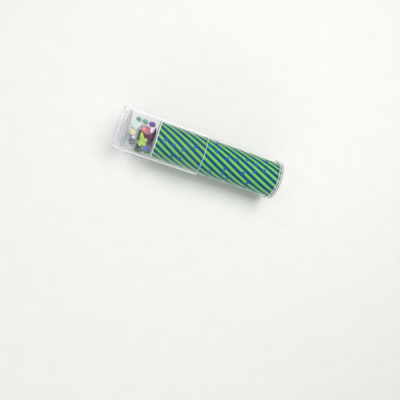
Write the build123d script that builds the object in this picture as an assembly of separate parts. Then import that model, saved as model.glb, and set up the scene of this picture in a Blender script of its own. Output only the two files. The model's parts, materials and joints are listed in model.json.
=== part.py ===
"""A toy kaleidoscope: a clear tube lined with striped paper holds a prism of three mirrors, and a
wider clear sleeve turns on its end and holds loose charms between a diffuser and a clear window.

Millimetres. The optical axis is parallel to X, with the charm chamber at -X and the eyepiece at +X.
The kaleidoscope lies on the plane Z = 0, and the origin is at the bottom centre of its box.
"Station" below is the distance from the outer face of the chamber's end plug, towards the eyepiece.
"""

import os
from math import cos, pi, radians, sin, sqrt

from build123d import *

# Driving dimensions
OVERALL_LENGTH = 170.0
SLEEVE_R = 21.0  # outer radius of the charm sleeve, the end plug's flange and the eyepiece cap
SLEEVE_WALL = 1.0
TUBE_R = 19.6  # outer radius of the clear body tube
TUBE_WALL = 0.8
PAPER_R = 18.65
PAPER_THICKNESS = 0.25
RIM_ROUND = 0.3
TUBE_ROUND = 0.25
PLUG_ROUND = 0.6

# Stations of the ends of the pieces
PLUG_FLANGE_END = 1.6
PLUG_END = 8.0
DIFFUSER_END = 8.5
WINDOW_START = 36.4
TUBE_START = 37.6
WINDOW_SKIRT_END = 42.4
SLEEVE_END = 86.0
CAP_START = 165.2
TUBE_END = 168.0
EYE_DISC_START = 168.1
LENS_START = 168.5
CAP_WALL_START = 169.0

# The end plug, the window cap and the eyepiece
PLUG_R = 19.85
PLUG_RECESS_R = 18.6
PLUG_FLOOR = 1.2
DIFFUSER_R = 19.3
WINDOW_SKIRT_R = 18.0
WINDOW_SKIRT_WALL = 0.8
CAP_BORE_R = 19.75
CAP_SHOULDER = 0.9
EYE_HOLE_R = 6.0
EYE_DISC_HOLE_R = 4.5
DISC_R = 19.6

# The mirror prism: three strips round an equilateral channel
MIRROR_WIDTH = 28.0
MIRROR_THICKNESS = 1.5
MIRROR_START = 43.4
MIRROR_END = 166.0
MIRROR_CORNER_GAP = 0.05
TAPE_GAP = 0.05
TAPE_THICKNESS = 0.12
TAPE_WIDTH = 12.0
TAPE_STARTS = {"chamber_end": 58.0, "middle": 98.5, "eye_end": 139.0}
RING_R = 17.95
RING_WIDTH = 6.0
RING_STARTS = {"chamber_end": 46.0, "eye_end": 157.0}

# The loose charms lie in two slices of the chamber, which tumble apart: the stations of their middles
FRONT_SLICE = 13.8
REAR_SLICE = 27.6

AXIS_Z = SLEEVE_R
SLEEVE_BORE_R = SLEEVE_R - SLEEVE_WALL


def x_at(station):
    """The X of a station."""
    return station - OVERALL_LENGTH / 2


def across(station):
    """The plane across the tube at a station, with its Z along +X, its X along +Y and its Y along +Z."""
    return Plane(origin=(x_at(station), 0, AXIS_Z), x_dir=(0, 1, 0), z_dir=(1, 0, 0))


def disc(start, end, radius):
    """A solid disc about the optical axis between two stations."""
    return across(start) * Cylinder(radius, end - start, align=(Align.CENTER, Align.CENTER, Align.MIN))


def ring(start, end, outer, inner):
    """A round ring or tube about the optical axis between two stations."""
    return disc(start, end, outer) - disc(start, end, inner)


def rim_edges(shape, station):
    """The round edges of a shape that lie at a station."""
    plane_x = x_at(station)
    return [
        edge
        for edge in shape.edges().filter_by(GeomType.CIRCLE)
        if abs(edge.center(CenterOf.BOUNDING_BOX).X - plane_x) < 1e-3
    ]


def round_rims(shape, stations, radius, outside_only=False):
    """Rounds the round edges at the given stations."""
    for station in stations:
        edges = rim_edges(shape, station)
        if outside_only:
            edges = [max(edges, key=lambda edge: edge.radius)]
        shape = fillet(edges, radius)
    return shape


# ---- the body tube and what is fixed in it ----------------------------------------------------


def body_tube():
    return round_rims(ring(TUBE_START, TUBE_END, TUBE_R, TUBE_R - TUBE_WALL), [TUBE_END], TUBE_ROUND)


def window_cap():
    """The clear window that closes the body tube towards the charms, with a skirt inside the paper."""
    flange = round_rims(disc(WINDOW_START, TUBE_START, TUBE_R), [WINDOW_START], RIM_ROUND)
    skirt = ring(TUBE_START, WINDOW_SKIRT_END, WINDOW_SKIRT_R, WINDOW_SKIRT_R - WINDOW_SKIRT_WALL)
    return flange + skirt


def polar(radius, degrees):
    return Vector(radius * cos(radians(degrees)), radius * sin(radians(degrees)))


def striped_wrap():
    """The printed paper, rolled once round, with its end tucked under its start.

    Angles run from +Y towards +Z. The lap is underneath, towards the back.
    """
    lap_start = -40.0
    ramp_start = lap_start + 340.0
    ramp_end = lap_start + 352.0
    lap_end = lap_start + 374.0
    lap_gap = 0.07
    end_gap = 0.2
    outer, inner = PAPER_R, PAPER_R - PAPER_THICKNESS
    step = PAPER_THICKNESS + lap_gap

    def arc(radius, start, end):
        return ThreePointArc(polar(radius, start), polar(radius, (start + end) / 2), polar(radius, end))

    def ramp(radius):
        middle = (ramp_start + ramp_end) / 2
        return ThreePointArc(
            polar(radius, ramp_start), polar(radius - step / 2, middle), polar(radius - step, ramp_end)
        )

    edges = [
        arc(outer, lap_start, ramp_start),
        ramp(outer),
        arc(outer - step, ramp_end, lap_end),
        Line(polar(outer - step, lap_end), polar(inner - step, lap_end)),
        arc(inner - step, ramp_end, lap_end),
        ramp(inner),
        arc(inner, lap_start, ramp_start),
        Line(polar(inner, lap_start), polar(outer, lap_start)),
    ]
    section = make_face(edges)
    return extrude(across(TUBE_START) * section, amount=TUBE_END - end_gap - TUBE_START, dir=(1, 0, 0))


def mirror_inradius():
    """The distance from the optical axis to each mirror's face."""
    return MIRROR_WIDTH / (2 * sqrt(3))


def mirror_strip(turn):
    """One mirror strip, turned about the optical axis from the bottom one."""
    length = MIRROR_END - MIRROR_START
    strip = Box(length, MIRROR_WIDTH - MIRROR_CORNER_GAP, MIRROR_THICKNESS)
    depth = mirror_inradius() + MIRROR_THICKNESS / 2
    middle = x_at((MIRROR_START + MIRROR_END) / 2)
    return Pos(middle, 0, AXIS_Z) * Rot(turn, 0, 0) * Pos(0, 0, -depth) * strip


def prism_outline(grow):
    """The outline round the three mirror strips, grown outwards, on the plane across the tube."""
    half = MIRROR_WIDTH / 2
    depth = mirror_inradius() + MIRROR_THICKNESS
    corners = []
    for turn in (0, 120, 240):
        c, s = cos(radians(turn)), sin(radians(turn))
        for side in (-half, half):
            corners.append((side * c + depth * s, side * s - depth * c))
    return offset(make_face(Polyline(*corners, close=True)), grow, kind=Kind.INTERSECTION)


def tape_band(start):
    """A band of clear tape round the three mirrors."""
    section = prism_outline(TAPE_GAP + TAPE_THICKNESS) - prism_outline(TAPE_GAP)
    return extrude(across(start) * section, amount=TAPE_WIDTH, dir=(1, 0, 0))


def centring_ring(start):
    """A foam ring that holds the mirrors in the middle of the tube."""
    hole = extrude(across(start) * prism_outline(TAPE_GAP), amount=RING_WIDTH, dir=(1, 0, 0))
    return disc(start, start + RING_WIDTH, RING_R) - hole


# ---- the eyepiece ---------------------------------------------------------------------------


def eyepiece_cap():
    """The clear push-on cap with the eye hole."""
    cap = disc(CAP_START, OVERALL_LENGTH, SLEEVE_R) - disc(CAP_START, CAP_WALL_START, CAP_BORE_R)
    cap -= disc(CAP_WALL_START, OVERALL_LENGTH, EYE_HOLE_R)
    cap = round_rims(cap, [OVERALL_LENGTH], CAP_SHOULDER, outside_only=True)
    return round_rims(cap, [CAP_START], RIM_ROUND)


# ---- the chamber's sleeve and end plug ------------------------------------------------------


def chamber_sleeve():
    sleeve = ring(PLUG_FLANGE_END, SLEEVE_END, SLEEVE_R, SLEEVE_BORE_R)
    return round_rims(sleeve, [SLEEVE_END], RIM_ROUND)


def end_plug():
    """The clear plug: a flange flush with the sleeve, and a cup with its floor at the inner end."""
    plug = disc(0, PLUG_FLANGE_END, SLEEVE_R) + disc(PLUG_FLANGE_END, PLUG_END, PLUG_R)
    plug -= disc(0, PLUG_END - PLUG_FLOOR, PLUG_RECESS_R)
    plug = round_rims(plug, [0], PLUG_ROUND)
    return round_rims(plug, [PLUG_END], RIM_ROUND)


# ---- the charms -----------------------------------------------------------------------------


def leaf(reach, thickness):
    """A leaf with five pointed lobes and raised veins, its longest lobe along its local X."""
    lobes = ((0, 1.0), (80, 0.6), (150, 0.64), (210, 0.64), (280, 0.6))
    notch_reach = 0.34 * reach
    bulge = 0.1 * reach
    vein_width, vein_height = 0.5, 0.3
    edges, veins = [], []
    for i, (degrees, share) in enumerate(lobes):
        tip = polar(share * reach, degrees)
        for side in (-1, 1):
            to_next = (lobes[(i + side) % len(lobes)][0] - degrees) * side % 360
            notch = polar(notch_reach, degrees + side * to_next / 2)
            shoulder = (tip + notch) * 0.5 + polar(bulge, degrees + side * 90)
            edges.append(ThreePointArc(notch, shoulder, tip))
        vein_length = 0.8 * share * reach
        rib = Box(vein_length, vein_width, 2 * vein_height)
        veins.append(Rot(0, 0, degrees) * Pos(vein_length / 2, 0, thickness / 2) * rib)
    body = extrude(make_face(edges), amount=thickness / 2, both=True)
    for vein in veins:
        body += vein
    return body


def blade(length, width, thickness):
    """A thin slip with two curved sides and pointed ends, along its local X."""
    tips = Vector(-length / 2, 0), Vector(length / 2, 0)
    sides = [ThreePointArc(tips[0], Vector(0, side * width / 2), tips[1]) for side in (-1, 1)]
    return extrude(make_face(sides), amount=thickness / 2, both=True)


def flower(radius, petals, thickness):
    """A flat flower with round petals and a raised middle."""
    petal_overlap, middle_share, button_share, button_height = 1.12, 0.5, 0.28, 0.8
    petal_r = radius * sin(pi / petals) / (1 + sin(pi / petals)) * petal_overlap
    outline = Circle(radius * middle_share)
    for i in range(petals):
        outline += Rot(0, 0, 360 / petals * i) * Pos(radius - petal_r, 0) * Circle(petal_r)
    body = extrude(outline, amount=thickness / 2, both=True)
    button = Pos(0, 0, thickness / 2) * Cylinder(radius * button_share, button_height)
    return body + button


def gem(radius, sides, height):
    """A cut stone with a flat table, a girdle and a pointed-in base."""
    girdle = height * 0.08
    crown = height * 0.3
    table_share, base_share = 0.62, 0.3
    base = height - girdle - crown
    outline = RegularPolygon(radius, sides)
    table = Pos(0, 0, girdle / 2 + crown) * RegularPolygon(radius * table_share, sides)
    tip = Pos(0, 0, -girdle / 2 - base) * RegularPolygon(radius * base_share, sides)
    middle = extrude(outline, amount=girdle / 2, both=True)
    top = loft([Pos(0, 0, girdle / 2) * outline, table], ruled=True)
    bottom = loft([tip, Pos(0, 0, -girdle / 2) * outline], ruled=True)
    return middle + top + bottom


def star(radius, thickness):
    """A five-pointed star."""
    waist = 0.45 * radius
    points = []
    for i in range(10):
        points.append(tuple(polar(radius if i % 2 == 0 else waist, 36 * i))[:2])
    return extrude(make_face(Polyline(*points, close=True)), amount=thickness / 2, both=True)


def heart(size, thickness):
    """A heart, made of a square standing on its corner and a disc on each of its upper sides."""
    side = 0.56 * size
    square = Rot(0, 0, 45) * Rectangle(side, side)
    lobe = side / 2
    shift = side / 2 * cos(radians(45))
    lobes = Pos(shift, shift) * Circle(lobe) + Pos(-shift, shift) * Circle(lobe)
    return extrude(square + lobes, amount=thickness / 2, both=True)


def bead(radius, hole):
    """A round bead with a flattened hole through it."""
    return Sphere(radius) - Cylinder(hole, 3 * radius)


def bugle(radius, length, hole):
    """A short glass tube bead, lying along its local X."""
    return Rot(0, 90, 0) * (Cylinder(radius, length) - Cylinder(hole, 2 * length))


def sequin(radius, thickness):
    """A thin round sequin with a hole in its middle."""
    hole_r = 0.2 * radius
    return Cylinder(radius, thickness) - Cylinder(hole_r, 2 * thickness)


def chip(size, thickness):
    """A three-cornered chip of clear plastic."""
    return extrude(RegularPolygon(size, 3), amount=thickness / 2, both=True)


def ring_charm(outer, inner, thickness):
    """A flat ring with rounded edges."""
    band = Cylinder(outer, thickness) - Cylinder(inner, 2 * thickness)
    return fillet(band.edges().filter_by(GeomType.CIRCLE), thickness * 0.3)


def against_wall(shape, station, around, depth, lean=0, spin=0):
    """Lays a charm flat towards the sleeve's wall, at an angle round the axis from straight down
    (towards +Y) and with its middle at a depth inside the bore."""
    place = Pos(x_at(station), 0, AXIS_Z) * Rot(around, 0, 0) * Pos(0, 0, depth - SLEEVE_BORE_R)
    return place * Rot(0, lean, 0) * Rot(0, 0, spin) * shape


def on_heap(shape, station, across_y, height, tilt=0, lean=0, spin=0):
    """Lays a charm on top of the others, at a distance across the tube and a height from Z = 0. It
    tilts about X and leans about Y from lying level."""
    return Pos(x_at(station), across_y, height) * Rot(tilt, lean, 0) * Rot(0, 0, spin) * shape


def front_charms():
    """The charms nearest the diffuser, most of them pale or clear."""
    s = FRONT_SLICE
    return {
        "teal_flower": on_heap(flower(2.9, 5, 1.2), s + 2.0, 15.4, 16.6, tilt=56, spin=12),
        "mint_flower": on_heap(flower(4.5, 5, 1.2), s + 0.4, 9.6, 15.6, tilt=24, lean=5, spin=8),
        "mint_sequin": on_heap(sequin(3.4, 0.6), s - 1.5, 5.8, 12.0, tilt=18, lean=-6),
        "yellow_sequin": on_heap(sequin(2.9, 0.6), s + 0.2, 1.4, 13.6, tilt=8, lean=4),
        "pearl_bead": on_heap(bead(2.3, 0.7), s + 2.7, -3.0, 12.0, tilt=60, spin=20),
        "smoke_ring": on_heap(ring_charm(2.8, 1.8, 0.9), s + 2.1, -8.2, 12.4, tilt=-14, lean=5),
        "clear_bugle": on_heap(bugle(1.1, 7.0, 0.45), s - 2.2, -3.8, 10.2, tilt=-8, spin=70),
        "clear_star": on_heap(star(3.6, 1.2), s - 1.5, -10.4, 11.5, tilt=-30, lean=-6, spin=20),
        "clear_chip": on_heap(chip(3.3, 1.3), s - 2.1, -15.2, 12.2, tilt=-56, lean=8, spin=15),
        "white_star": against_wall(star(3.9, 1.3), s + 1.1, -44, 1.9, lean=5, spin=12),
        "mint_bead": against_wall(bead(2.5, 0.8), s - 2.5, -30, 3.0, lean=60),
        "lilac_flower": against_wall(flower(3.9, 6, 1.2), s + 0.3, -6, 2.0, lean=6, spin=15),
        "white_heart": against_wall(heart(6.4, 1.7), s + 0.9, 17, 2.1, lean=-7, spin=-30),
        "clear_bead": against_wall(bead(2.9, 0.9), s - 0.4, 41, 3.2, lean=75, spin=30),
    }


def rear_charms():
    """The charms from the middle of the chamber to the window, round the large leaf."""
    s = REAR_SLICE
    on_top = {
        "lime_leaf": on_heap(leaf(9.4, 1.2), s - 2.6, -4.6, 14.9, tilt=-4, lean=3, spin=110),
        "rose_heart": on_heap(heart(8.4, 1.8), s - 1.2, 7.0, 15.0, tilt=20, lean=-4, spin=28),
        "ruby_gem": on_heap(gem(3.5, 6, 3.0), s + 0.8, 2.2, 10.2, tilt=6, lean=4, spin=12),
        "teal_gem": on_heap(gem(3.3, 8, 3.2), s - 5.1, 15.4, 15.8, tilt=60, lean=2, spin=10),
        "violet_gem": on_heap(gem(3.6, 8, 3.4), s + 2.2, 15.2, 15.8, tilt=58, lean=3, spin=8),
        "pink_flower": on_heap(flower(3.4, 6, 1.2), s + 4.4, 9.8, 14.6, tilt=24, lean=-4, spin=12),
        "plum_heart": on_heap(heart(8.2, 1.8), s + 4.6, -2.0, 12.4, tilt=3, lean=5, spin=34),
        "plum_blade": on_heap(blade(15.5, 3.2, 0.8), s + 6.9, 4.8, 17.2, tilt=14, spin=90),
        "magenta_star": on_heap(star(3.0, 1.3), s + 5.4, 5.6, 11.2, tilt=14, lean=6, spin=28),
        "periwinkle_flower": on_heap(flower(3.7, 5, 1.3), s + 4.2, -9.0, 11.8, tilt=-16, lean=-4, spin=16),
        "green_bugle": on_heap(bugle(1.1, 5.8, 0.45), s + 5.4, -14.2, 14.0, tilt=-30, spin=40),
        "ink_bugle": on_heap(bugle(1.1, 8.6, 0.4), s - 6.8, -1.4, 17.7, tilt=6, spin=96),
        "ink_bead": on_heap(bead(1.3, 0.4), s - 6.8, 5.4, 13.4, tilt=40),
        "charcoal_bead": on_heap(bead(1.8, 0.6), s - 5.2, -11.4, 12.6, tilt=40),
        "slate_bead": on_heap(bead(1.9, 0.6), s - 0.6, -14.0, 13.4, tilt=-30),
        "silver_sequin": on_heap(sequin(3.2, 0.5), s - 3.6, 10.9, 11.4, tilt=38, lean=4),
    }
    row = s - 4.2
    far_row = s + 4.2
    return on_top | {
        "green_flower": against_wall(flower(4.0, 6, 1.2), row, -49, 1.9, lean=5, spin=20),
        "blue_star": against_wall(star(3.9, 1.3), row, -24, 1.9, lean=-6, spin=30),
        "plum_flower": against_wall(flower(4.1, 5, 1.2), row, 0, 1.9, lean=6, spin=5),
        "amber_bead": against_wall(bead(2.7, 0.8), row, 22, 3.1, lean=70),
        "orange_heart": against_wall(heart(6.8, 1.6), row, 41, 2.1, lean=5, spin=35),
        "white_flower": against_wall(flower(4.1, 6, 1.2), far_row, -46, 1.9, lean=5, spin=10),
        "blue_bead": against_wall(bead(2.4, 0.8), far_row, -25, 2.8, lean=66),
        "yellow_star": against_wall(star(4.0, 1.2), far_row, -4, 1.9, lean=5, spin=12),
        "rose_bead": against_wall(bead(2.8, 0.8), far_row, 18, 3.1, lean=60, spin=10),
        "blue_flower": against_wall(flower(4.0, 5, 1.2), far_row, 40, 1.9, lean=-5, spin=25),
    }


def parts():
    """Every piece by its name."""
    made = {
        "body_tube": body_tube(),
        "window_cap": window_cap(),
        "striped_wrap": striped_wrap(),
        "eyepiece_cap": eyepiece_cap(),
        "lens_disc": disc(LENS_START, CAP_WALL_START, DISC_R),
        "eye_disc": ring(EYE_DISC_START, LENS_START, DISC_R, EYE_DISC_HOLE_R),
        "chamber_sleeve": chamber_sleeve(),
        "end_plug": end_plug(),
        "diffuser_disc": disc(PLUG_END, DIFFUSER_END, DIFFUSER_R),
    }
    for name, turn in (("bottom", 0), ("front", 120), ("back", 240)):
        made[f"mirror_{name}"] = mirror_strip(turn)
    for name, start in TAPE_STARTS.items():
        made[f"tape_band_{name}"] = tape_band(start)
    for name, start in RING_STARTS.items():
        made[f"centring_ring_{name}"] = centring_ring(start)
    for group in (front_charms(), rear_charms()):
        made.update({f"charm_{name}": shape for name, shape in group.items()})
    return made


os.makedirs("parts", exist_ok=True)
for node, shape in parts().items():
    export_step(shape, f"parts/{node}.step")
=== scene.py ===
"""A toy kaleidoscope lying on a pale floor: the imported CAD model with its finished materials."""

import json
from math import cos, pi, radians, sin

import bpy
from mathutils import Matrix, Vector


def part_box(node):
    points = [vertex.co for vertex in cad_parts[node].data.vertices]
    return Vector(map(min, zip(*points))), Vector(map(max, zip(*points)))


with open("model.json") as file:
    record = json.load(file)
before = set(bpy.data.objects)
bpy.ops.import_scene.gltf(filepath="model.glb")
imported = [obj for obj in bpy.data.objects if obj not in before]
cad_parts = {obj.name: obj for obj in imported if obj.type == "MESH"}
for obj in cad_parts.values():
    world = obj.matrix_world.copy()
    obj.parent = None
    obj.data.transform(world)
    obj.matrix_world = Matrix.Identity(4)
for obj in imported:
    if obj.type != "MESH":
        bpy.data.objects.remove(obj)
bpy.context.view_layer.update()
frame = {"nodes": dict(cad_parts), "record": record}

NODES = frame["nodes"]

# The object's own places, read from the frame, in metres
TUBE_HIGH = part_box("body_tube")[1]
SLEEVE_LOW, SLEEVE_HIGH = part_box("chamber_sleeve")
PAPER_LOW, PAPER_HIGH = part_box("striped_wrap")
PLUG_LOW, PLUG_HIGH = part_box("end_plug")
WINDOW_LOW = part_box("window_cap")[0]
CAP_LOW, CAP_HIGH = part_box("eyepiece_cap")
MIRROR_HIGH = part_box("mirror_bottom")[1]
AXIS_Z = (SLEEVE_LOW.z + SLEEVE_HIGH.z) / 2
SLEEVE_R = (SLEEVE_HIGH.z - SLEEVE_LOW.z) / 2
PAPER_R = (PAPER_HIGH.y - PAPER_LOW.y) / 2
MM = 0.001

# The printed pattern: stripes that wind round the paper, a little wider towards the eyepiece
STRIPES_ROUND = 19
STRIPE_RATE = 79.6  # stripes per metre along the middle of the tube
STRIPE_THINNING = 98.0  # by which that rate falls for each metre along the tube
STRIPE_PHASE = 0.8525
LIGHT_SHARE = 0.46
STAR_CELL = 10.5 * MM
STAR_R = 2.6 * MM
STAR_SHARE = 0.52  # of the cells that have a star
STAR_WAIST = 0.5  # of STAR_R
PAPER_MARGIN = 0.75 * MM
INK_EDGE = 0.05 * MM  # half the width over which two printed colours meet
LAP_ANGLE = radians(-40)  # where the paper's lap is, from +Y towards +Z

# The camera: above the tube, over the chamber, and leaning towards the front
CAMERA_OVER = 32.9 * MM  # from the chamber end
CAMERA_DISTANCE = 339 * MM  # from the tube's axis
CAMERA_LEAN = radians(16)  # of the line from the axis to the camera, from straight up
CAMERA_PAN = radians(11.25)  # towards the eyepiece
CAMERA_PITCH = radians(7.34)  # towards the front
CAMERA_ROLL = radians(19.2)  # by which the tube falls to the right in the picture
SENSOR = 36.0
FOCAL_SHARE = 0.829  # focal length as a share of the picture's width


# ---- shader building --------------------------------------------------------------------------


class Paint:
    """A material under construction."""

    def __init__(self, name):
        self.material = bpy.data.materials.new(name)
        self.material.use_nodes = True
        self.tree = self.material.node_tree
        self.tree.nodes.clear()
        self.coordinates = None

    def node(self, kind, inputs=None, **settings):
        """A new node with its settings and inputs; an input is a value or another node's socket."""
        made = self.tree.nodes.new("ShaderNode" + kind)
        for key, value in settings.items():
            setattr(made, key, value)
        for key, value in (inputs or {}).items():
            if isinstance(value, bpy.types.NodeSocket):
                self.tree.links.new(value, made.inputs[key])
            else:
                made.inputs[key].default_value = value
        return made

    def math(self, operation, *values):
        return self.node("Math", dict(enumerate(values)), operation=operation).outputs[0]

    def place(self):
        """The x, y and z of a point on the piece, in its own frame."""
        if self.coordinates is None:
            source = self.node("TexCoord").outputs["Object"]
            split = self.node("SeparateXYZ", {0: source})
            self.coordinates = (source, *split.outputs[:3])
        return self.coordinates

    def from_axis(self):
        """The y and z of a point, counted from the tube's axis."""
        return self.place()[2], self.math("SUBTRACT", self.place()[3], AXIS_Z)

    def length(self, first, second):
        """The length of a vector that has two parts."""
        squares = [self.math("POWER", part, 2.0) for part in (first, second)]
        return self.math("SQRT", self.math("ADD", *squares))

    def towards(self, angle, first, second):
        """How far a vector of two parts reaches in the direction at an angle from its first part."""
        return self.math(
            "ADD", self.math("MULTIPLY", first, cos(angle)), self.math("MULTIPLY", second, sin(angle))
        )

    def ramp(self, value, low, high, to_low=0.0, to_high=1.0, smooth=False):
        """value from low..high to to_low..to_high, held at the ends."""
        return self.node(
            "MapRange",
            {"Value": value, "From Min": low, "From Max": high, "To Min": to_low, "To Max": to_high},
            interpolation_type="SMOOTHSTEP" if smooth else "LINEAR",
        ).outputs["Result"]

    def noise(self, scale, detail=2.0, roughness=0.5, stretch=None):
        """Noise of a size in waves per metre."""
        vector = self.place()[0]
        if stretch:
            vector = self.node("Mapping", {"Vector": vector, "Scale": stretch}).outputs[0]
        return self.node(
            "TexNoise", {"Vector": vector, "Scale": scale, "Detail": detail, "Roughness": roughness}
        ).outputs["Fac"]

    def blend(self, factor, first, second):
        """A mix of two colours."""
        mixed = self.node("Mix", {0: factor, 6: first, 7: second}, data_type="RGBA")
        return mixed.outputs[2]

    def bump(self, height, strength, distance):
        return self.node("Bump", {"Height": height, "Strength": strength, "Distance": distance}).outputs[0]

    def plastic(self, **inputs):
        """A Principled shader; names are its sockets' with _ for a space."""
        return self.node("BsdfPrincipled", {k.replace("_", " "): v for k, v in inputs.items()}).outputs[0]

    def mix_shaders(self, factor, first, second):
        return self.node("MixShader", {0: factor, 1: first, 2: second}).outputs[0]

    def done(self, shader):
        self.node("OutputMaterial", {"Surface": shader})
        return self.material


def rgb(red, green, blue):
    """A colour from its 0-255 screen values."""
    def linear(value):
        value /= 255
        return value / 12.92 if value <= 0.04045 else ((value + 0.055) / 1.055) ** 2.4

    return (linear(red), linear(green), linear(blue), 1.0)


# ---- materials --------------------------------------------------------------------------------


def clear_plastic(name, rims=(), haze=0.01, ior=1.49, painted_edge_light=0.0, outer_r=0.0):
    """A clear moulded shell, which refracts what is seen through it. rims are the x of the places where
    it looks milky, such as its cut edges, or is painted white as a highlight, each with how far this
    reaches and how milky it is. haze is about how milky the rest is. The argument after ior is how white
    the wall of radius outer_r is painted where it is seen edge on: a painted highlight along its edges."""
    tint, roughness = (0.994, 0.992, 0.998, 1.0), 0.015
    paint = Paint(name)
    x = paint.place()[1]
    smear = paint.noise(90.0, detail=5.0, roughness=0.65)
    scratches = paint.noise(260.0, detail=3.0, stretch=(0.25, 1.0, 1.0))
    milk = paint.ramp(smear, 0.42, 0.75, haze * 0.5, haze * 1.6)
    for rim, width, amount in rims:
        near = paint.math("ABSOLUTE", paint.math("SUBTRACT", x, rim))
        milk = paint.math("MAXIMUM", milk, paint.ramp(near, width * 0.6, width, amount, 0.0, smooth=True))
    if painted_edge_light:
        # Painted highlight: the outer wall is painted white where it is seen edge on, as a bright line
        # along the shell's edges
        reach = paint.length(*paint.from_axis())
        outside = paint.ramp(reach, outer_r - 0.5 * MM, outer_r - 0.3 * MM)
        facing = paint.node("LayerWeight", {"Blend": 0.5}).outputs["Facing"]
        painted_edge_highlight = paint.ramp(facing, 0.62, 0.74, 0.0, painted_edge_light, smooth=True)
        milk = paint.math("MAXIMUM", milk, paint.math("MULTIPLY", painted_edge_highlight, outside))
    rough = paint.ramp(scratches, 0.35, 0.8, roughness, roughness * 2.4)
    glass = paint.plastic(Base_Color=tint, Roughness=rough, IOR=ior, Transmission_Weight=1.0)
    through = paint.node("BsdfTransparent", {"Color": tint}).outputs[0]
    # What lights other things goes straight through, and only sight is refracted
    path = paint.node("LightPath").outputs
    lighting = paint.math("MAXIMUM", path["Is Shadow Ray"], path["Is Diffuse Ray"])
    white = paint.node("BsdfDiffuse", {"Color": rgb(246, 247, 250)}).outputs[0]
    shell = paint.mix_shaders(lighting, glass, through)
    return paint.done(paint.mix_shaders(milk, shell, white))


def frosted_plastic():
    paint = Paint("frosted_plastic")
    grain = paint.noise(1800.0, detail=3.0)
    through = paint.node("BsdfTransparent", {"Color": (0.97, 0.98, 0.98, 1.0)}).outputs[0]
    body = paint.plastic(
        Base_Color=rgb(236, 240, 242),
        Roughness=paint.ramp(grain, 0.3, 0.7, 0.4, 0.6),
        Normal=paint.bump(grain, 0.3, 0.05 * MM),
    )
    return paint.done(paint.mix_shaders(0.45, through, body))


def star_mask(paint, around, x):
    """1 inside small five-pointed stars that are scattered over the unrolled paper, and 0 outside."""
    flat = paint.node("CombineXYZ", {0: paint.math("MULTIPLY", around, PAPER_R), 1: x}).outputs[0]
    cells = paint.node(
        "TexVoronoi", {"Vector": flat, "Scale": 1 / STAR_CELL, "Randomness": 0.8}, voronoi_dimensions="2D"
    ).outputs
    offset = paint.node("VectorMath", {0: flat, 1: cells["Position"]}, operation="SUBTRACT").outputs[0]
    step = paint.node("SeparateXYZ", {0: offset}).outputs
    chance = paint.node("SeparateColor", {0: cells["Color"]}).outputs
    distance = paint.length(step[0], step[1])
    turned = paint.math("MULTIPLY_ADD", chance[0], 2 * pi, paint.math("ARCTAN2", step[1], step[0]))
    # The outline is straight from each tip to the waist next to it, half a point's angle away
    half_point = pi / 5
    fold = paint.math("PINGPONG", paint.math("ADD", turned, 2 * pi), half_point)
    from_waist = paint.math("SINE", paint.math("SUBTRACT", half_point, fold))
    spread = paint.math("MULTIPLY_ADD", from_waist, STAR_WAIST, paint.math("SINE", fold))
    outline = paint.math("DIVIDE", STAR_R * STAR_WAIST * sin(half_point), spread)
    inside = paint.ramp(paint.math("SUBTRACT", distance, outline), -INK_EDGE, INK_EDGE, 1.0, 0.0)
    return paint.math("MULTIPLY", inside, paint.math("LESS_THAN", chance[1], STAR_SHARE))


def striped_paper():
    """Diagonal stripes in two colours under scattered small stars, with a white margin and a white back."""
    paint = Paint("striped_paper")
    x = paint.place()[1]
    y, height = paint.from_axis()
    # The angle is cut at the lap, so that the pattern meets itself there
    opposite = pi + LAP_ANGLE
    across, up = paint.towards(opposite, y, height), paint.towards(opposite + pi / 2, y, height)
    around = paint.math("ADD", paint.math("ARCTAN2", up, across), opposite)
    turns = paint.math("MULTIPLY_ADD", around, STRIPES_ROUND / (2 * pi), STRIPE_PHASE)
    along = paint.math("MULTIPLY", x, paint.math("MULTIPLY_ADD", x, -STRIPE_THINNING, STRIPE_RATE))
    from_middle = paint.math("SUBTRACT", paint.math("FRACT", paint.math("SUBTRACT", turns, along)), 0.5)
    edge, half = 0.012, LIGHT_SHARE / 2  # as shares of the stripes' pitch
    wobble = paint.math("MULTIPLY", paint.math("SUBTRACT", paint.noise(900.0), 0.5), 0.006)
    away = paint.math("ADD", paint.math("ABSOLUTE", from_middle), wobble)
    light = paint.ramp(away, half - edge, half + edge, 1.0, 0.0)
    border = paint.ramp(away, half + edge, half + 8 * edge, 1.0, 0.0)
    core = paint.ramp(away, half * 0.3, half * 0.9, 1.0, 0.0)

    ink = paint.noise(300.0, detail=2.0)
    fleck = paint.ramp(paint.noise(700.0, detail=1.0), 0.72, 0.75)
    green = paint.blend(ink, rgb(98, 178, 106), rgb(106, 186, 114))
    green = paint.blend(core, green, rgb(120, 196, 86))
    green = paint.blend(fleck, green, rgb(214, 176, 64))
    blue = paint.blend(ink, rgb(0, 70, 104), rgb(0, 78, 112))
    blue = paint.blend(border, blue, rgb(0, 90, 94))
    colour = paint.blend(light, blue, green)
    colour = paint.blend(star_mask(paint, around, x), colour, rgb(24, 98, 164))
    margin_end = PAPER_LOW.x + PAPER_MARGIN
    margin = paint.ramp(x, margin_end - INK_EDGE, margin_end + INK_EDGE, 1.0, 0.0)
    inside = paint.ramp(paint.length(y, height), PAPER_R - 0.22 * MM, PAPER_R - 0.16 * MM, 1.0, 0.0)
    colour = paint.blend(margin, colour, rgb(246, 247, 244))
    colour = paint.blend(inside, colour, rgb(236, 234, 226))
    fibre = paint.noise(2600.0, detail=3.0, stretch=(1.0, 0.35, 0.35))
    return paint.done(
        paint.plastic(
            Base_Color=colour,
            Roughness=paint.ramp(fibre, 0.3, 0.7, 0.42, 0.55),
            Specular_IOR_Level=0.12,
            Normal=paint.bump(fibre, 0.12, 0.02 * MM),
        )
    )


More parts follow.
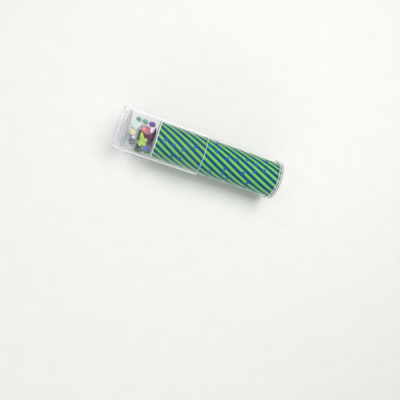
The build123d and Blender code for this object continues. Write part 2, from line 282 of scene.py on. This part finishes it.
def mirror_strip():
    """Silvered towards the axis, grey backing paint outside and at the edges."""
    paint = Paint("mirror_strip")
    y, height = paint.from_axis()
    inner_face = AXIS_Z - MIRROR_HIGH.z
    # How far out a point is from the axis, towards whichever of the three strips it is on
    bottom, back, front = (paint.towards(radians(angle), y, height) for angle in (-90, 30, 150))
    out = paint.math("MAXIMUM", paint.math("MAXIMUM", bottom, back), front)
    silver = paint.ramp(out, inner_face + 0.02 * MM, inner_face + 0.05 * MM, 1.0, 0.0)
    wear = paint.math("MULTIPLY", paint.noise(300.0, detail=4.0), 0.03)
    colour = paint.blend(silver, rgb(88, 92, 98), rgb(236, 240, 242))
    roughness = paint.math("ADD", paint.ramp(silver, 0.0, 1.0, 0.4, 0.02), wear)
    return paint.done(paint.plastic(Base_Color=colour, Metallic=silver, Roughness=roughness))


def foam():
    paint = Paint("eva_foam")
    cells = paint.node("TexVoronoi", {"Vector": paint.place()[0], "Scale": 2200.0}).outputs["Distance"]
    colour = paint.blend(paint.noise(600.0), rgb(44, 46, 52), rgb(60, 62, 68))
    pores = paint.bump(cells, 0.6, 0.15 * MM)
    return paint.done(paint.plastic(Base_Color=colour, Roughness=0.85, Normal=pores))


def tape():
    paint = Paint("clear_tape")
    through = paint.node("BsdfTransparent", {"Color": (0.97, 0.95, 0.88, 1.0)}).outputs[0]
    wrinkles = paint.noise(240.0, detail=4.0, stretch=(1.0, 3.0, 3.0))
    body = paint.plastic(
        Base_Color=rgb(226, 214, 176), Roughness=0.25, Normal=paint.bump(wrinkles, 0.5, 0.1 * MM)
    )
    return paint.done(paint.mix_shaders(0.45, through, body))


def white_card():
    paint = Paint("white_card")
    fibre = paint.noise(1500.0, detail=4.0)
    colour = paint.blend(fibre, rgb(232, 232, 228), rgb(246, 246, 243))
    felt = paint.bump(fibre, 0.3, 0.05 * MM)
    return paint.done(paint.plastic(Base_Color=colour, Roughness=0.9, Normal=felt))


def moulded(name, colour):
    """Opaque glossy plastic with faint flow marks."""
    deep = 0.72
    paint = Paint(name)
    flow = paint.noise(320.0, detail=3.0)
    darker = tuple(channel * deep for channel in colour[:3]) + (1.0,)
    shade = paint.blend(paint.ramp(flow, 0.35, 0.65), darker, colour)
    marks = paint.noise(900.0, detail=3.0)
    return paint.done(
        paint.plastic(
            Base_Color=shade,
            Roughness=paint.ramp(marks, 0.3, 0.7, 0.18, 0.34),
            Coat_Weight=0.6,
            Coat_Roughness=0.08,
            Subsurface_Weight=0.08,
            Subsurface_Radius=(MM, MM, MM),
            Subsurface_Scale=1.0,
            Normal=paint.bump(marks, 0.15, 0.05 * MM),
        )
    )


def transparent_colour(name, colour, solid):
    """Coloured transparent plastic or glass, which sight and light pass straight through. solid is how much
    of it is surface colour where it is seen straight on."""
    paint = Paint(name)
    swirl = paint.noise(420.0, detail=3.0)
    lit = tuple(0.35 + 0.65 * channel for channel in colour[:3]) + (1.0,)
    through = paint.node("BsdfTransparent", {"Color": lit}).outputs[0]
    body = paint.plastic(
        Base_Color=paint.blend(swirl, colour, tuple(min(1, c * 1.5 + 0.02) for c in colour[:3]) + (1.0,)),
        Roughness=0.05,
        Coat_Weight=1.0,
        Coat_Roughness=0.03,
    )
    facing = paint.node("LayerWeight", {"Blend": 0.35}).outputs["Facing"]
    share = paint.ramp(facing, 0.0, 0.8, solid, solid + 0.4)
    return paint.done(paint.mix_shaders(share, through, body))


def foil(name, colour):
    """Pearly film with a fine crinkle, which shows a second tint where it bends."""
    paint = Paint(name)
    crinkle = paint.noise(700.0, detail=3.0)
    other = (colour[2], colour[0], colour[1], 1.0)
    tone = paint.blend(paint.ramp(crinkle, 0.4, 0.75, 0.0, 0.25), colour, other)
    return paint.done(
        paint.plastic(
            Base_Color=tone, Metallic=0.1, Roughness=0.2, Coat_Weight=1.0,
            Normal=paint.bump(crinkle, 0.35, 0.12 * MM),
        )
    )


def pearl():
    paint = Paint("pearl")
    bands = paint.noise(500.0, detail=2.0)
    tone = paint.blend(bands, rgb(240, 232, 222), rgb(226, 224, 236))
    return paint.done(
        paint.plastic(
            Base_Color=tone, Roughness=0.25, Coat_Weight=1.0, Coat_Roughness=0.05,
            Sheen_Weight=0.4,
        )
    )


def floor_material():
    paint = Paint("floor")
    grain = paint.noise(60.0, detail=4.0)
    colour = paint.blend(grain, rgb(228, 227, 222), rgb(234, 233, 229))
    return paint.done(paint.plastic(Base_Color=colour, Roughness=0.75, Specular_IOR_Level=0.2))


CHARM_COLOURS = {
    "teal": rgb(120, 192, 180), "amber": rgb(232, 150, 40), "blue": rgb(40, 80, 200),
    "clear": rgb(236, 242, 244), "green": rgb(60, 150, 60), "rose": rgb(228, 100, 120),
    "ruby": rgb(128, 14, 34), "smoke": rgb(140, 134, 128), "violet": rgb(116, 76, 178),
    "mint": rgb(236, 255, 244), "white": rgb(246, 246, 243), "lilac": rgb(206, 194, 236),
    "orange": rgb(236, 120, 50), "lime": rgb(196, 238, 104), "ink": rgb(12, 44, 46),
    "plum": rgb(72, 20, 76), "pink": rgb(255, 232, 250), "magenta": rgb(160, 50, 110),
    "charcoal": rgb(60, 60, 66), "periwinkle": rgb(134, 148, 234), "yellow": rgb(244, 240, 176),
    "silver": rgb(214, 220, 228), "slate": rgb(110, 116, 142),
}


def charm_material(slot):
    """The finish of a charm's slot: its kind, then its colour."""
    if slot == "pearl":
        return pearl()
    kind, colour = slot.split("_")
    if kind == "glass":
        clear = colour in ("clear", "smoke", "mint")
        return transparent_colour(slot, CHARM_COLOURS[colour], solid=0.22 if clear else 0.5)
    if kind == "foil":
        return foil(slot, CHARM_COLOURS[colour])
    return moulded(slot, CHARM_COLOURS[colour])


def dress(node, material):
    """Gives a CAD node its material."""
    thing = NODES[node]
    if not thing.material_slots:
        thing.data.materials.append(material)
    for place in thing.material_slots:
        place.link = "OBJECT"
        place.material = material


def dress_clear_pieces():
    """The walls over the paper have a lower index than the plastic's own, so that they don't whiten it."""
    thin, cut, shoulder_highlight = 0.3 * MM, 0.45 * MM, 1.2 * MM
    chamber_middle, chamber_length = (PLUG_HIGH.x + WINDOW_LOW.x) / 2, WINDOW_LOW.x - PLUG_HIGH.x
    # A faint milky veil over the middle of the chamber
    chamber_veil = (chamber_middle, chamber_length * 0.55, 0.025)
    sleeve_rims = [(SLEEVE_HIGH.x, cut, 0.85), (SLEEVE_LOW.x, thin, 0.3), chamber_veil]
    plug_rims = [(PLUG_HIGH.x, thin, 0.3), (PLUG_LOW.x, thin, 0.4)]
    # The white band at the eyepiece cap's rounded shoulder is a painted highlight
    cap_rims = [(CAP_LOW.x, cut, 0.7), (CAP_HIGH.x, shoulder_highlight, 0.5)]
    # The sleeve gets a painted highlight where its wall is seen edge on
    dress(
        "chamber_sleeve",
        clear_plastic("clear_sleeve", sleeve_rims, haze=0.004, ior=1.24, painted_edge_light=0.8, outer_r=SLEEVE_R),
    )
    dress("end_plug", clear_plastic("clear_plug", plug_rims, haze=0.08))
    dress("body_tube", clear_plastic("clear_tube", [(TUBE_HIGH.x, thin, 0.5)], haze=0.004, ior=1.22))
    dress("window_cap", clear_plastic("clear_window", [(WINDOW_LOW.x, cut, 0.5)]))
    dress("eyepiece_cap", clear_plastic("clear_cap", cap_rims, haze=0.08, ior=1.34))
    dress("lens_disc", clear_plastic("clear_lens"))


def dress_all():
    dress_clear_pieces()
    dress("diffuser_disc", frosted_plastic())
    dress("striped_wrap", striped_paper())
    mirror, band, sponge = mirror_strip(), tape(), foam()
    for node in NODES:
        if node.startswith("mirror_"):
            dress(node, mirror)
        elif node.startswith("tape_band_"):
            dress(node, band)
        elif node.startswith("centring_ring_"):
            dress(node, sponge)
    dress("eye_disc", white_card())
    finishes = {}
    for part in frame["record"]["subparts"]:
        node, slot = part["node"], part["material_slot"]
        if node.startswith("charm_"):
            if slot not in finishes:
                finishes[slot] = charm_material(slot)
            dress(node, finishes[slot])


# ---- the studio -------------------------------------------------------------------------------


def add_camera():
    """The tube's axis is level in a picture that is then rolled."""
    along = Vector((1, 0, 0))
    towards = Vector((0, -sin(CAMERA_LEAN), cos(CAMERA_LEAN)))
    down = Vector((0, -cos(CAMERA_LEAN), -sin(CAMERA_LEAN)))
    level = along * sin(CAMERA_PAN) - towards * cos(CAMERA_PAN)
    forward = level * cos(CAMERA_PITCH) + down * sin(CAMERA_PITCH)
    tube_right = along * cos(CAMERA_PAN) + towards * sin(CAMERA_PAN)
    tube_down = forward.cross(tube_right)
    right = tube_right * cos(CAMERA_ROLL) - tube_down * sin(CAMERA_ROLL)
    up = -(tube_right * sin(CAMERA_ROLL) + tube_down * cos(CAMERA_ROLL))
    place = Vector((PLUG_LOW.x + CAMERA_OVER, 0, AXIS_Z)) + towards * CAMERA_DISTANCE
    data = bpy.data.cameras.new("camera")
    data.sensor_width = SENSOR
    data.lens = SENSOR * FOCAL_SHARE
    data.clip_start = 0.01
    camera = bpy.data.objects.new("camera", data)
    turn = Matrix((right, up, -forward)).transposed().to_4x4()
    camera.matrix_world = Matrix.Translation(place) @ turn
    bpy.context.scene.collection.objects.link(camera)
    bpy.context.scene.camera = camera


def add_floor():
    mesh = bpy.data.meshes.new("floor")
    reach, z = 4.0, -0.1 * MM
    corners = [(-reach, -reach, z), (reach, -reach, z), (reach, reach, z), (-reach, reach, z)]
    mesh.from_pydata(corners, [], [(0, 1, 2, 3)])
    mesh.materials.append(floor_material())
    ground = bpy.data.objects.new("floor", mesh)
    bpy.context.scene.collection.objects.link(ground)


def add_softbox(name, place, width, height, watts, mirrored=False):
    """A lamp that shines on the object's middle, and is seen in reflections only if it is mirrored."""
    data = bpy.data.lights.new(name, "AREA")
    data.shape = "RECTANGLE"
    data.size, data.size_y = width, height
    data.energy = watts
    lamp = bpy.data.objects.new(name, data)
    lamp.location = place
    ray = Vector((0, 0, AXIS_Z)) - lamp.location
    lamp.rotation_euler = ray.to_track_quat("-Z", "Y").to_euler()
    lamp.visible_glossy = mirrored
    lamp.visible_transmission = False
    bpy.context.scene.collection.objects.link(lamp)


def add_light():
    add_softbox("key", (0.25, 0.3, 0.84), width=0.7, height=0.5, watts=5.9)
    add_softbox("low_fill", (-0.05, -0.85, 0.26), width=0.9, height=0.2, watts=2.2)
    # Small lamps past the chamber end, which glint on the charms and the plug and not along the tube
    for place in ((-0.25, 0.1, 0.7), (-0.45, -0.15, 0.55), (-0.4, 0.35, 0.5), (-0.2, -0.3, 0.7)):
        add_softbox("sparkle", place, width=0.04, height=0.04, watts=0.35, mirrored=True)
    world = bpy.data.worlds.new("studio")
    world.use_nodes = True
    tree = world.node_tree
    background = tree.nodes["Background"]
    background.inputs["Color"].default_value = (0.93, 0.96, 1.0, 1.0)
    # Darker in reflections and through clear plastic than as light, as if black flags stood round the lamps
    as_light, as_seen = 0.38, 0.25
    path = tree.nodes.new("ShaderNodeLightPath")
    level = tree.nodes.new("ShaderNodeMapRange")
    level.inputs["To Min"].default_value = as_light
    level.inputs["To Max"].default_value = as_seen
    either = tree.nodes.new("ShaderNodeMath")
    either.operation = "MAXIMUM"
    tree.links.new(path.outputs["Is Glossy Ray"], either.inputs[0])
    tree.links.new(path.outputs["Is Transmission Ray"], either.inputs[1])
    tree.links.new(either.outputs[0], level.inputs["Value"])
    tree.links.new(level.outputs["Result"], background.inputs["Strength"])
    bpy.context.scene.world = world


def set_up_picture():
    scene = bpy.context.scene
    scene.view_settings.view_transform = "Standard"
    scene.cycles.transparent_max_bounces = 48
    scene.cycles.max_bounces = 32
    scene.cycles.transmission_bounces = 24
    scene.cycles.glossy_bounces = 8


add_camera()
add_floor()
add_light()
set_up_picture()
dress_all()
